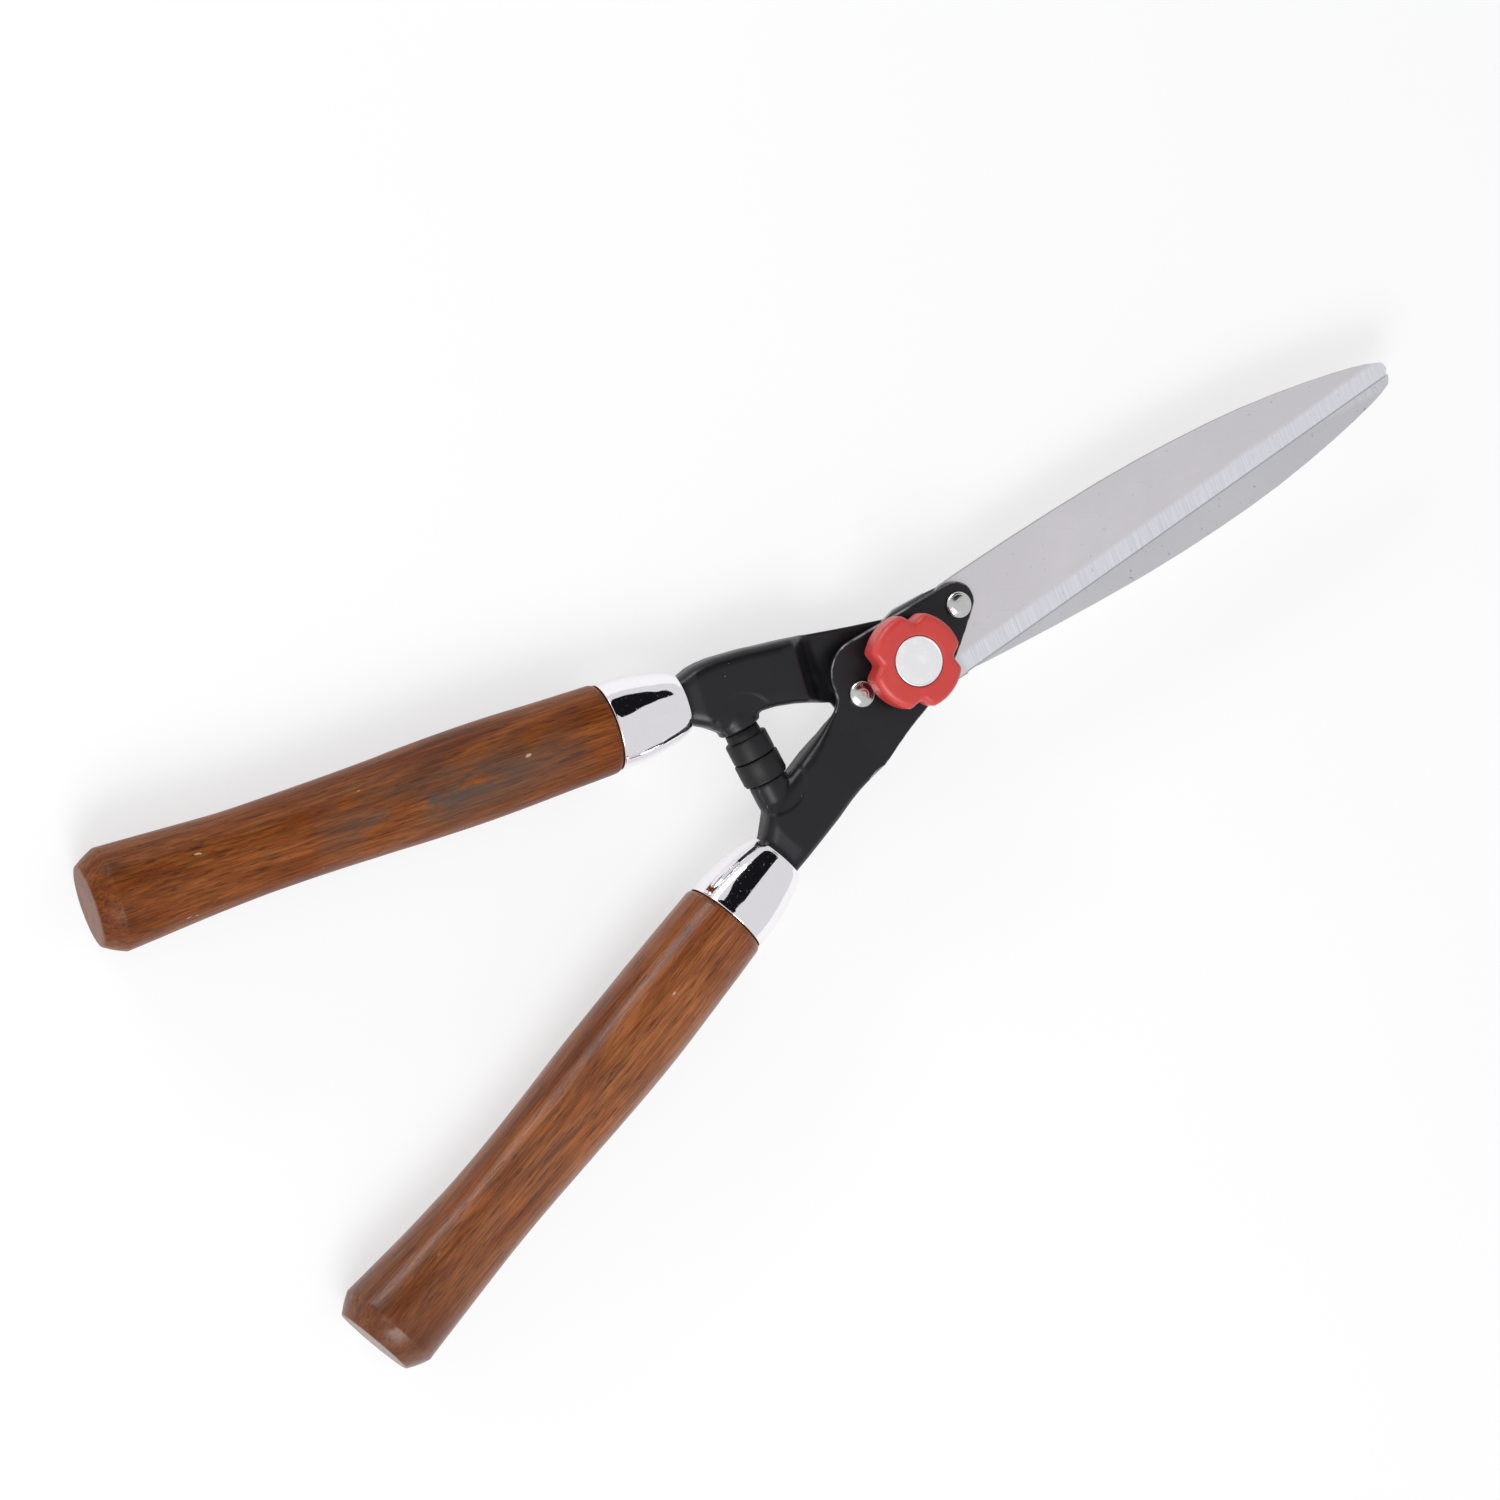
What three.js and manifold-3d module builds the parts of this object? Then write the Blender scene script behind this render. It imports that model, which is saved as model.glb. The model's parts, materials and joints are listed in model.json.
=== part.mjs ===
// Hedge shears: two riveted blade-and-arm levers with turned wooden handles, closed on rubber
// bumpers, turning on one bolt that a hand knob holds down.
// Millimetres, +Z up. The origin is the flat underside of the pivot bolt's head, on the pivot axis.
// +X points to the blade tips, and the front lever's handle lies on the -Y side.
import * as THREE from "three";
import { mergeVertices } from "three/addons/utils/BufferGeometryUtils.js";
import Module from "manifold-3d";

const wasm = await Module();
wasm.setup();

const faceGap = 0.3; // between pieces that lie on each other
const runGap = 0.08; // radial, round the bolt's shank

// Thicknesses, and the bolt
const plateThick = 3;
const bladeThick = 2.5;
const bolt = {
  radius: 4, chamfer: 0.6, headHeight: 4.8, headSpare: 4, headChamfer: 0.8, neckSpare: 0.3, neckHeight: 2.6,
};

// Blades: reach is pivot to tip, belly the widest distance from the pivot's centre line to the back edge
const blade = {
  reach: 232.5, belly: 20.3, tipTop: 4.2, tipBottom: -1.4, tailRadius: 6.4,
  heelX: 21.8, heelY: -17.2, rootX: 8, rootY: -17.6, bevelWidth: 7.6, edgeThick: 0.5,
};
// Height of the back edge over the belly, at shares of the reach
const backEdge = [
  [0.12, 0.85], [0.26, 0.94], [0.45, 1], [0.6, 0.957], [0.733, 0.84], [0.86, 0.62], [0.95, 0.4], [0.985, 0.27],
];

// Rivets and their places on a lever
const rivet = {
  radius: 2.5, headRadius: 5.1, headHeight: 2.5, headRim: 0.7, sinkRadius: 3.9, sinkDepth: 1.1,
};
const rivetPlaces = { tip: [29.3, 7.9], rear: [-20.8, -2.6] };

// Flat plate of an arm round the pivot
const plate = {
  topY: 16.9, noseX: 29.5, noseRadius: 7.4, noseEndAngle: -48.9, backX: -15.7, backRadius: 13.8,
};

// Arms. slope is the handle's angle from the blades' line, offset its distance from the pivot along Y.
// edge is the plate's outer side. bend rows are [distance along the handle, outer side, inner side,
// share of plate height left, share of channel formed], channel rows [distance, outer side, inner side].
const arms = {
  front: {
    slope: 19.4, offset: 12.74, ferruleAt: 82.9, seamY: -3.5,
    edge: [[19.2, -9.2], [10.5, -15.4], [1.5, -19.6], [-10.4, -24]],
    plateEnd: [29.5, -8.6, 19.6],
    bend: [[33, -8.2, 19.1, 0.8, 0.3], [37.5, -7.8, 18.6, 0.42, 0.55], [42.5, -7.6, 18.3, 0.1, 0.85]],
    channel: [[48, -7.8, 18], [56, -8.4, 17.6], [66, -8.7, 17.3], [71, -8.8, 16], [75, -8.9, 13.4]],
  },
  rear: {
    slope: 10.98, offset: 12.24, ferruleAt: 84.8, seamY: 3.5,
    edge: [[19.2, -9.2], [10.5, -13.4], [1.5, -16.6], [-10.4, -20.4]],
    plateEnd: [28.2, -8.3, 18.6],
    bend: [[31.2, -8.9, 17.6, 0.88, 0.2], [34.6, -9.4, 16.4, 0.45, 0.5], [38, -9.9, 15.3, 0.1, 0.8]],
    channel: [
      [43, -10.4, 14], [50, -11, 12.8], [56, -11.7, 12.5], [60, -11.9, 13.5],
      [69, -12.3, 15.6], [74, -12, 15], [78, -11.3, 12],
    ],
  },
};
const channel = {
  webTop: 8, depth: 12.5, wall: 2.6, round: 4.6, mouthHalf: 9.3, mouthDrop: 1.5, endHalf: 8.6, inFerrule: 9,
};
const tang = { rootAt: 3, rootHalf: 4.6, neckHalf: 3.6, neckAt: 13, tipHalf: 2, reach: 71 };

// Ferrules and handles, turned on one axis. Ferrule rows are shares of its length, and of the way
// from the mouth's radius to the rim's; grip rows are a share of the handle's length, and a radius.
const ferrule = { length: 29.8, wall: 1.1, mouthRadius: 12.1, rimRadius: 16.8, lip: 0.8 };
const ferruleShape = [[0.12, 0.24], [0.33, 0.58], [0.55, 0.85], [0.77, 0.98], [1, 0.98]];
const handle = {
  length: 201.9, spigot: 15.5, shoulderRadius: 16, shoulderRise: 2.5, boreRadius: 5.7, boreSpare: 2,
  buttRadius: 19.7, buttFace: 15.6, buttChamfer: 7.6,
};
const gripShape = [[0.05, 17.4], [0.27, 18.2], [0.45, 17.5], [0.63, 16.75], [0.78, 17.4], [0.91, 19]];

// Rubber bumpers on a line along Y, and the bosses of the arms that hold their pins
const bumper = { x: -67, chamfer: 0.8, pinRadius: 3.2, pinLength: 6.5 };
const bumperOf = {
  front: { radius: 8.7, base: 12.7, neckRadius: 8.7, seat: 12.7 },
  rear: { radius: 8.3, base: 4.7, neckRadius: 6.8, seat: 8.3 },
};
const boss = { front: { radius: 7.6, length: 8 }, rear: { radius: 8.5, length: 4 } };

// Knob and what it clamps
const washer = { radius: 10, thick: 1.5 };
const spring = { radius: 8.8, thick: 0.9, wave: 0.35 };
const knob = {
  radius: 18.2, height: 11.6, round: 2.6, notchRadius: 4, notchOut: 19.1, notchTurn: -22,
  footRadius: 11.5, footHeight: 0.8,
};
const nut = { across: 13, height: 6.5 };
const cap = { radius: 9.35, flange: 0.9, chamfer: 0.3, sunk: 0.4, plugRadius: 7.7, plugHeight: 2 };

const boreSides = 48; // sides of the bolt's shank and of the holes it fills
const fine = 28; // sides of a large round
const coarse = 16; // sides of a small round

// The bolt's square neck and head follow its shank
const neckHalf = bolt.radius + bolt.neckSpare;
const headRadius = bolt.radius + bolt.headSpare;

// Heights over the plane between the blades, which is the zero of each lever
const bladeLow = faceGap / 2;
const plateLow = bladeLow + bladeThick + faceGap;
const plateHigh = plateLow + plateThick;
const middle = bolt.headHeight + faceGap + plateHigh;

// Heights over the bolt head's underside
const washerLow = middle + plateHigh + faceGap;
const springLow = washerLow + washer.thick + faceGap;
const knobLow = springLow + spring.thick + 2 * spring.wave + faceGap;
const knobHigh = knobLow + knob.height;
const capLow = knobHigh - cap.sunk;
const nutHigh = capLow - cap.plugHeight - faceGap;
const nutLow = nutHigh - nut.height;

const radians = THREE.MathUtils.degToRad;

const looks = {
  bladeSteel: { color: 0xc9cad0, roughness: 0.32, metalness: 1 },
  blackPaint: { color: 0x1c1c1f, roughness: 0.45, metalness: 0.1 },
  rivetSteel: { color: 0xc4c4c0, roughness: 0.25, metalness: 1 },
  chrome: { color: 0xe4e4e8, roughness: 0.08, metalness: 1 },
  wood: { color: 0x7c452a, roughness: 0.4, metalness: 0 },
  rubber: { color: 0x19191a, roughness: 0.7, metalness: 0 },
  redPlastic: { color: 0xd9402f, roughness: 0.38, metalness: 0 },
  capMetal: { color: 0xdcdee2, roughness: 0.35, metalness: 0.9 },
  zinc: { color: 0xa9abad, roughness: 0.35, metalness: 1 },
};
const material = Object.fromEntries(
  Object.entries(looks).map(([name, look]) => [name, new THREE.MeshStandardMaterial(look)]),
);

// A closed geometry as a manifold-3d solid; a profile may run either way, so the facing is set here
function solid(geometry) {
  const bare = new THREE.BufferGeometry();
  const loose = geometry.index ? geometry.toNonIndexed() : geometry;
  bare.setAttribute("position", loose.getAttribute("position"));
  const merged = mergeVertices(bare, 1e-4);
  const index = [...merged.index.array];
  const corners = [];
  let volume = 0;
  const [a, b, c] = [new THREE.Vector3(), new THREE.Vector3(), new THREE.Vector3()];
  for (let i = 0; i < index.length; i += 3) {
    const [p, q, r] = index.slice(i, i + 3);
    if (p === q || q === r || r === p) continue;
    corners.push([p, q, r]);
    a.fromBufferAttribute(merged.attributes.position, p);
    b.fromBufferAttribute(merged.attributes.position, q);
    c.fromBufferAttribute(merged.attributes.position, r);
    volume += a.dot(b.cross(c));
  }
  if (volume < 0) corners.forEach((corner) => corner.reverse());
  return new wasm.Manifold(new wasm.Mesh({
    numProp: 3,
    vertProperties: new Float32Array(merged.attributes.position.array),
    triVerts: new Uint32Array(corners.flat()),
  }));
}

function piece(name, body, look) {
  const mesh = body.getMesh();
  const shared = new THREE.BufferGeometry();
  shared.setAttribute("position", new THREE.BufferAttribute(new Float32Array(mesh.vertProperties), 3));
  shared.setIndex(new THREE.BufferAttribute(new Uint32Array(mesh.triVerts), 1));
  const geometry = shared.toNonIndexed();
  geometry.computeVertexNormals();
  const made = new THREE.Mesh(geometry, material[look]);
  made.name = name;
  return made;
}

// Solid turned about Z from rows of [radius, height]
function turned(profile, sides = fine) {
  const outline = profile.map(([radius, height]) => new THREE.Vector2(radius, height));
  const geometry = new THREE.LatheGeometry(outline, sides);
  geometry.rotateX(Math.PI / 2);
  return solid(geometry);
}

function rod(radius, low, high, sides = boreSides) {
  return turned([[0, low], [radius, low], [radius, high], [0, high]], sides);
}

function slab(outline, low, high, curveSegments = 10) {
  return solid(new THREE.ExtrudeGeometry(outline, { depth: high - low, bevelEnabled: false, curveSegments }))
    .translate([0, 0, low]);
}

function prism(across, sides, low, high) {
  const reach = across / 2 / Math.cos(Math.PI / sides);
  const geometry = new THREE.CylinderGeometry(reach, reach, high - low, sides);
  geometry.rotateX(Math.PI / 2);
  geometry.rotateZ(Math.PI / sides);
  return solid(geometry).translate([0, 0, (low + high) / 2]);
}

function through(rows, count) {
  return new THREE.SplineCurve(rows.map(([x, y]) => new THREE.Vector2(x, y))).getPoints(count);
}

// Blade: back edge on +Y, cutting edge on -Y with its bevel on the outer face, tail under the arm
function bladeOutline() {
  const [tailX, tailY] = rivetPlaces.rear;
  const tail = new THREE.Path();
  tail.absarc(tailX, tailY, blade.tailRadius, radians(-110), radians(110), true);
  const back = backEdge.map(([along, share]) => [along * blade.reach, share * blade.belly]);
  back.push([blade.reach - 1.2, blade.tipTop], [blade.reach, (blade.tipTop + blade.tipBottom) / 2]);
  return new THREE.Shape([
    ...tail.getPoints(8),
    ...through(back, 18),
    new THREE.Vector2(blade.reach - 1.8, blade.tipBottom),
    new THREE.Vector2(blade.heelX, blade.heelY),
    new THREE.Vector2(blade.rootX, blade.rootY),
  ]);
}

function bevelCutter() {
  const heel = new THREE.Vector2(blade.heelX, blade.heelY);
  const tip = new THREE.Vector2(blade.reach - 1.8, blade.tipBottom);
  const outside = 12;
  const slope = (bladeThick - blade.edgeThick) / blade.bevelWidth;
  const wedge = new THREE.Shape([
    new THREE.Vector2(blade.bevelWidth, 0),
    new THREE.Vector2(-outside, -slope * (outside + blade.bevelWidth)),
    new THREE.Vector2(-outside, outside),
    new THREE.Vector2(blade.bevelWidth, outside),
  ]);
  const along = tip.distanceTo(heel) + 20;
  const geometry = new THREE.ExtrudeGeometry(wedge, { depth: along, bevelEnabled: false });
  // the wedge's own x goes across the blade, its y up, and it runs along the cutting edge
  geometry.applyMatrix4(new THREE.Matrix4().makeBasis(
    new THREE.Vector3(0, 1, 0), new THREE.Vector3(0, 0, 1), new THREE.Vector3(1, 0, 0)));
  geometry.rotateZ(tip.sub(heel).angle());
  geometry.translate(heel.x, heel.y, bladeLow + bladeThick);
  return solid(geometry);
}

function bladeBody() {
  let body = slab(bladeOutline(), bladeLow, bladeLow + bladeThick).subtract(bevelCutter());
  body = body.subtract(rod(bolt.radius + runGap, bladeLow - 1, bladeLow + bladeThick + 1));
  for (const place of Object.values(rivetPlaces)) body = body.subtract(rivetRoom(place));
  return body;
}

// Room for a rivet through blade and plate, with its sunk tail in the blade's inner face
function rivetRoom([x, y]) {
  const wide = rivet.sinkRadius + faceGap;
  const narrow = rivet.radius + faceGap;
  const profile = [
    [0, bladeLow - 1], [wide, bladeLow - 1], [wide, bladeLow + 0.2],
    [narrow, bladeLow + rivet.sinkDepth + faceGap], [narrow, plateHigh + 1], [0, plateHigh + 1],
  ];
  return turned(profile, coarse).translate([x, y, 0]);
}

function rivetBody() {
  const seat = plateHigh + faceGap;
  const rise = rivet.headHeight - rivet.headRim;
  const dome = new THREE.EllipseCurve(0, seat + rivet.headRim, rivet.headRadius, rise, 0, Math.PI / 2);
  const crown = dome.getPoints(5).map((point) => [point.x, point.y]);
  crown.at(-1)[0] = 0;
  return turned([
    [0, bladeLow], [rivet.sinkRadius, bladeLow], [rivet.radius, bladeLow + rivet.sinkDepth],
    [rivet.radius, seat], [rivet.headRadius - 0.3, seat], ...crown,
  ], coarse);
}

// A point of the plan, from a distance along the handle's axis and one towards the other handle
function planPoint(arm, along, across) {
  const turn = radians(arm.slope);
  return new THREE.Vector2(
    -along * Math.cos(turn) - across * Math.sin(turn),
    -arm.offset - along * Math.sin(turn) + across * Math.cos(turn),
  );
}

function plateOutline(arm) {
  const [end, outerSide, innerSide] = arm.plateEnd;
  const outer = planPoint(arm, end, outerSide);
  const inner = planPoint(arm, end, innerSide);
  const left = plate.backX - plate.backRadius;
  const backY = plate.topY - plate.backRadius;
  const outline = new THREE.Shape();
  outline.moveTo(plate.backX, plate.topY);
  const noseY = plate.topY - plate.noseRadius;
  outline.absarc(plate.noseX, noseY, plate.noseRadius, Math.PI / 2, radians(plate.noseEndAngle), true);
  outline.splineThru([...arm.edge.map(([x, y]) => new THREE.Vector2(x, y)), outer]);
  outline.lineTo(inner.x, inner.y);
  outline.quadraticCurveTo(left, (inner.y + backY) / 2 - 1, left, backY);
  outline.absarc(plate.backX, backY, plate.backRadius, Math.PI, Math.PI / 2, true);
  return outline;
}

// Section of the channel, open below: a web with two rounded shoulders and two flanges
function channelSection(outer, inner, top, bottom, round) {
  const wall = channel.wall;
  const hollowRound = Math.max(round - wall, 0.15);
  const points = [];
  const corner = (x, y, radius, from, to) => {
    const arc = new THREE.EllipseCurve(x, y, radius, radius, radians(from), radians(to), to < from);
    points.push(...arc.getPoints(3));
  };
  points.push(new THREE.Vector2(outer, bottom), new THREE.Vector2(outer + wall, bottom));
  corner(outer + wall + hollowRound, top - wall - hollowRound, hollowRound, 180, 90);
  corner(inner - wall - hollowRound, top - wall - hollowRound, hollowRound, 90, 0);
  points.push(new THREE.Vector2(inner - wall, bottom), new THREE.Vector2(inner, bottom));
  corner(inner - round, top - round, round, 0, 90);
  corner(outer + round, top - round, round, 90, 180);
  return points;
}

// Skin over sections of the same number of points, each at a distance along the handle's axis
function lofted(arm, sections) {
  const count = sections[0].points.length;
  const position = [];
  for (const { along, points } of sections)
    for (const point of points) {
      const plan = planPoint(arm, along, point.x);
      position.push(plan.x, plan.y, point.y);
    }
  const index = [];
  for (let s = 0; s + 1 < sections.length; s++)
    for (let i = 0; i < count; i++) {
      const a = s * count + i;
      const b = s * count + ((i + 1) % count);
      index.push(a, b, b + count, a, b + count, a + count);
    }
  const last = (sections.length - 1) * count;
  for (const [a, b, c] of THREE.ShapeUtils.triangulateShape(sections[0].points, [])) index.push(a, c, b);
  for (const [a, b, c] of THREE.ShapeUtils.triangulateShape(sections.at(-1).points, []))
    index.push(last + a, last + b, last + c);
  const geometry = new THREE.BufferGeometry();
  geometry.setAttribute("position", new THREE.BufferAttribute(new Float32Array(position), 3));
  geometry.setIndex(index);
  return solid(geometry);
}

function channelBody(arm, flatTop) {
  const [end, outerSide, innerSide] = arm.plateEnd;
  const sections = [];
  const add = (along, outer, inner, top, depth, round) =>
    sections.push({ along, points: channelSection(outer, inner, top, top - depth, round) });
  const bent = (along, outer, inner, left, formed) => {
    const top = THREE.MathUtils.lerp(channel.webTop, flatTop, left);
    const depth = THREE.MathUtils.lerp(plateThick, channel.depth, formed);
    add(along, outer, inner, top, depth, THREE.MathUtils.lerp(0.3, channel.round, formed));
  };
  bent(end - 2, outerSide + 0.6, innerSide - 0.6, 1, 0);
  bent(end, outerSide, innerSide, 1, 0);
  for (const row of arm.bend) bent(...row);
  for (const [along, outer, inner] of arm.channel)
    add(along, outer, inner, channel.webTop, channel.depth, channel.round);
  const top = channel.webTop - channel.mouthDrop;
  const depth = channel.depth - channel.mouthDrop;
  add(arm.ferruleAt - 1.5, -channel.mouthHalf, channel.mouthHalf, top, depth, channel.round);
  add(arm.ferruleAt + channel.inFerrule, -channel.endHalf, channel.endHalf, top, depth, channel.round);
  return lofted(arm, sections);
}

function tangBody(arm) {
  const corners = [[-1, -1], [1, -1], [1, 1], [-1, 1]];
  const square = (along, half) => ({
    along: arm.ferruleAt + along,
    points: corners.map(([x, y]) => new THREE.Vector2(x * half, y * half)),
  });
  const rows = [
    [tang.rootAt, tang.rootHalf], [channel.inFerrule, tang.rootHalf],
    [tang.neckAt, tang.neckHalf], [tang.reach, tang.tipHalf],
  ];
  return lofted(arm, rows.map(([along, half]) => square(along, half)));
}

// Boss for the bumper's pin: a stub along Y that runs into the channel, cut off level with the flanges
function bossBody(side, arm) {
  const { radius, length } = boss[side];
  const from = arm.seamY - bumperGrip(side).seat - faceGap;
  const end = solid(new THREE.SphereGeometry(radius, fine, fine / 2)).translate([0, 0, length]);
  let body = rod(radius, 0, length, fine).add(end);
  body = body.rotate([90, 0, 0]).translate([bumper.x, from, 0]);
  const floor = channel.webTop - channel.depth;
  body = body.trimByPlane([0, 0, 1], floor);
  return body.trimByPlane([0, -1, 0], -from);
}

function bumperGrip(side) {
  const { base, seat } = bumperOf[side];
  const seam = arms[side].seamY;
  return { base: base + seam, seat: seat + seam };
}

// Room for a bumper, its neck and its pin, from the seam down
function bumperRoom(side) {
  const { radius, neckRadius } = bumperOf[side];
  const { base, seat } = bumperGrip(side);
  const neck = rod(neckRadius + faceGap, 0, seat + faceGap, fine);
  const body = rod(radius + faceGap, 0, base + faceGap, fine).add(neck);
  return body.add(rod(bumper.pinRadius + faceGap, 1, seat + bumper.pinLength + 3 * faceGap, coarse));
}

function armBody(side, flatLow) {
  const arm = arms[side];
  let body = slab(plateOutline(arm), flatLow, flatLow + plateThick);
  body = body.add(channelBody(arm, flatLow + plateThick)).add(tangBody(arm)).add(bossBody(side, arm));
  body = body.subtract(bumperRoom(side).rotate([90, 0, 0]).translate([bumper.x, arm.seamY, 0]));
  const hole = rod(rivet.radius + faceGap, flatLow - 1, flatLow + plateThick + 1, coarse);
  for (const place of Object.values(rivetPlaces)) body = body.subtract(hole.translate([...place, 0]));
  return body;
}

function frontArmBody() {
  return armBody("front", plateLow).subtract(rod(bolt.radius + runGap, plateLow - 1, plateHigh + 1));
}

// The rear lever is laid turned over, so its arm is mirrored to keep the channel's web on top
function rearArmBody() {
  const neck = prism(2 * (neckHalf + faceGap), 4, -plateHigh - 1, -plateLow + 1);
  return armBody("rear", -plateHigh).subtract(neck).mirror([0, 0, 1]);
}

function ferruleRadius(share) {
  const rows = through([[0, 0], ...ferruleShape], 40);
  const after = Math.max(1, rows.findIndex((row) => row.x >= share));
  const before = rows[after - 1];
  const part = (share - before.x) / (rows[after].x - before.x);
  const grown = before.y + part * (rows[after].y - before.y);
  return THREE.MathUtils.lerp(ferrule.mouthRadius, ferrule.rimRadius, grown);
}

function ferruleBody() {
  const steps = 6;
  const outside = [];
  const inside = [];
  for (let i = 0; i <= steps; i++) {
    const share = i / steps;
    outside.push([ferruleRadius(share) - (i ? 0 : ferrule.lip), share * ferrule.length]);
    inside.push([ferruleRadius(share) - ferrule.wall, share * ferrule.length]);
  }
  outside.splice(1, 0, [ferruleRadius(0.03), 0.03 * ferrule.length]);
  return turned([...outside, ...inside.reverse(), outside[0]]);
}

function handleBody() {
  const start = ferrule.length + faceGap;
  const end = start + handle.length;
  const spigotAt = (height) => [ferruleRadius(height / ferrule.length) - ferrule.wall - faceGap, height];
  const bottom = ferrule.length - handle.spigot;
  const boreEnd = tang.reach + handle.boreSpare;
  const grip = through([
    [start + handle.shoulderRise, handle.shoulderRadius + 1.1],
    ...gripShape.map(([share, radius]) => [start + share * handle.length, radius]),
    [end - handle.buttChamfer, handle.buttRadius],
  ], 13).map((row) => [row.y, row.x]);
  return turned([
    [0, boreEnd], [handle.boreRadius, boreEnd], [handle.boreRadius, bottom],
    spigotAt(bottom), spigotAt((bottom + ferrule.length) / 2), spigotAt(ferrule.length),
    [spigotAt(ferrule.length)[0], start], [handle.shoulderRadius, start], ...grip,
    [handle.buttFace, end], [0, end],
  ]);
}

// Bumper from its free face towards its pin, along Z
function bumperBody(side) {
  const { radius, neckRadius } = bumperOf[side];
  const { base, seat } = bumperGrip(side);
  const rim = bumper.chamfer;
  const neck = seat > base ? [[neckRadius, base], [neckRadius, seat]] : [];
  const pinEnd = seat + bumper.pinLength;
  return turned([
    [0, faceGap / 2], [radius - rim, faceGap / 2], [radius, faceGap / 2 + rim],
    [radius, base - rim], [radius - rim, base], ...neck,
    [bumper.pinRadius, seat], [bumper.pinRadius, pinEnd], [0, pinEnd],
  ]);
}

function boltBody() {
  const neckHigh = bolt.headHeight + bolt.neckHeight;
  const shank = turned([
    [0, 0], [headRadius - bolt.headChamfer, 0], [headRadius, bolt.headChamfer], [headRadius, bolt.headHeight],
    [bolt.radius, bolt.headHeight], [bolt.radius, nutHigh - bolt.chamfer],
    [bolt.radius - bolt.chamfer, nutHigh], [0, nutHigh],
  ], boreSides);
  return shank.add(prism(2 * neckHalf, 4, bolt.headHeight - 0.5, neckHigh));
}

function washerBody() {
  const bore = bolt.radius + faceGap;
  const high = washer.thick;
  return turned([[bore, 0], [washer.radius, 0], [washer.radius, high], [bore, high], [bore, 0]], boreSides);
}

// Wave washer: a flat ring whose face rises and falls twice round
function springBody() {
  const bore = bolt.radius + faceGap;
  const { radius, thick, wave } = spring;
  const rows = [[bore, 0], [radius, 0], [radius, thick], [bore, thick], [bore, 0]];
  const geometry = new THREE.LatheGeometry(rows.map(([x, y]) => new THREE.Vector2(x, y)), boreSides);
  geometry.rotateX(Math.PI / 2);
  const position = geometry.getAttribute("position");
  for (let i = 0; i < position.count; i++) {
    const around = Math.atan2(position.getY(i), position.getX(i));
    position.setZ(i, position.getZ(i) + wave * (1 + Math.cos(2 * around)));
  }
  return solid(geometry);
}

// Knob: a round body with four thumb notches, a rounded top edge, and room for nut and cap
function knobBody() {
  const { radius, round, height, footRadius, footHeight } = knob;
  const corner = new THREE.EllipseCurve(radius - round, height - round, round, round, 0, Math.PI / 2);
  const edge = corner.getPoints(5).map((point) => [point.x, point.y]);
  const foot = [[0, 0], [footRadius, 0], [footRadius, footHeight]];
  let body = turned([...foot, [radius, footHeight], ...edge, [0, height]], boreSides);
  for (let i = 0; i < 4; i++) {
    const turn = radians(knob.notchTurn + 90 * i);
    const notch = rod(knob.notchRadius, -1, height + 1, coarse);
    body = body.subtract(notch.translate([knob.notchOut * Math.cos(turn), knob.notchOut * Math.sin(turn), 0]));
  }
  const capSeat = capLow - knobLow - faceGap;
  const plugSeat = capSeat - cap.plugHeight;
  const nutSeat = nutLow - knobLow - faceGap;
  body = body.subtract(rod(bolt.radius + 2 * faceGap, -1, nutSeat + 1));
  body = body.subtract(prism(nut.across + 2 * faceGap, 6, nutSeat, plugSeat + 0.5));
  body = body.subtract(rod(cap.plugRadius + faceGap, plugSeat, capSeat + 0.5, fine));
  return body.subtract(rod(cap.radius + faceGap, capSeat, height + 1, fine));
}

function nutBody() {
  const bore = bolt.radius + runGap;
  return prism(nut.across, 6, 0, nut.height).subtract(rod(bore, -1, nut.height + 1));
}

function capBody() {
  return turned([
    [0, -cap.plugHeight], [cap.plugRadius, -cap.plugHeight], [cap.plugRadius, 0], [cap.radius, 0],
    [cap.radius, cap.flange - cap.chamfer], [cap.radius - cap.chamfer, cap.flange], [0, cap.flange],
  ]);
}

// A lever with its blade uppermost at the pivot; the rear one is laid turned over
function lever(side, arm) {
  const group = new THREE.Group();
  group.position.z = middle;
  if (side === "rear") group.rotation.x = Math.PI;
  group.add(piece(`${side}_blade`, bladeBody(), "bladeSteel"), piece(`${side}_arm`, arm, "blackPaint"));
  for (const [place, [x, y]] of Object.entries(rivetPlaces)) {
    const made = piece(`${side}_rivet_${place}`, rivetBody(), "rivetSteel");
    made.position.set(x, y, 0);
    group.add(made);
  }
  const { slope, offset, ferruleAt, seamY } = arms[side];
  const grip = new THREE.Group();
  grip.position.set(0, -offset, 0);
  grip.rotation.z = Math.PI + radians(slope);
  const turnedParts = [
    piece(`${side}_ferrule`, ferruleBody(), "chrome"), piece(`${side}_handle`, handleBody(), "wood"),
  ];
  for (const part of turnedParts) {
    part.rotation.y = Math.PI / 2;
    part.position.x = ferruleAt;
    grip.add(part);
  }
  const stop = piece(`${side}_bumper`, bumperBody(side), "rubber");
  stop.rotation.x = Math.PI / 2;
  stop.position.set(bumper.x, seamY, 0);
  group.add(grip, stop);
  return group;
}

function pivot() {
  const group = new THREE.Group();
  const stack = [
    ["pivot_bolt", boltBody(), "zinc", 0],
    ["thrust_washer", washerBody(), "zinc", washerLow],
    ["wave_washer", springBody(), "zinc", springLow],
    ["knob_body", knobBody(), "redPlastic", knobLow],
    ["knob_nut", nutBody(), "zinc", nutLow],
    ["knob_cap", capBody(), "capMetal", capLow],
  ];
  for (const [name, body, look, low] of stack) {
    const made = piece(name, body, look);
    made.position.z = low;
    group.add(made);
  }
  return group;
}

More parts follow.
